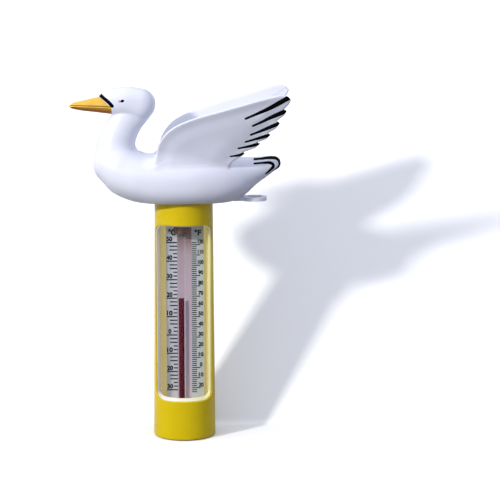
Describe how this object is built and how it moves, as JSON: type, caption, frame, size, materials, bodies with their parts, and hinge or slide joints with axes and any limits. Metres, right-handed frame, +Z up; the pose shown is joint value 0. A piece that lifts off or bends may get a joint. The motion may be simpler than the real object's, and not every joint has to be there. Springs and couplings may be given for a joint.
{
  "type": "floating pool thermometer",
  "caption": "Floating pool thermometer: a hollow swan figure carries a windowed tube with a red spirit thermometer and a tether ring.",
  "frame": {"origin": "centre of the flat foot of the bottom cap", "axes": "+Z up along the tube's axis, -X the way the swan faces, the window faces -Y"},
  "size_m": [0.1196, 0.0656, 0.1924],
  "materials": {
    "yellow_plastic": "glossy moulded yellow",
    "white_plastic": "glossy moulded white with painted black markings",
    "orange_plastic": "satin orange-yellow",
    "clear_plastic": "clear polished plastic",
    "natural_plastic": "natural moulded plastic",
    "card_plastic": "printed white plastic sheet",
    "stem_glass": "clear drawn glass",
    "red_spirit": "dyed red liquid",
    "seal_rubber": "black rubber",
    "foam": "grey foam",
    "zinc_steel": "plated steel"
  },
  "bodies": {
    "case": {"case_tube": "yellow_plastic", "bottom_cap": "yellow_plastic", "neck_plug": "yellow_plastic", "cap_seal": "seal_rubber", "neck_seal": "seal_rubber", "ballast_weight": "zinc_steel", "lower_cushion": "foam", "upper_cushion": "foam", "clear_tube": "clear_plastic", "clear_tube_bottom_plug": "natural_plastic", "clear_tube_top_plug": "natural_plastic", "scale_card": "card_plastic", "lower_clip": "natural_plastic", "upper_clip": "natural_plastic", "glass_capillary": "stem_glass", "spirit_bulb_fill": "red_spirit"},
    "swan": {"swan_left_shell": "white_plastic", "swan_right_shell": "white_plastic", "left_wing": "white_plastic", "right_wing": "white_plastic", "beak": "orange_plastic", "base_plate": "white_plastic"},
    "spirit": {"spirit_column": "red_spirit"}
  },
  "joints": [
    {"name": "swan_swivel", "type": "hinge", "parent": "case", "child": "swan", "pos_m": [0, 0, 0.1346], "axis": [0, 0, 1], "continuous": true},
    {"name": "spirit_rise", "type": "slide", "parent": "case", "child": "spirit", "axis": [0, 0, 1], "range_m": [-0.0515, 0.0309], "deforming": ["spirit_column"]}
  ]
}
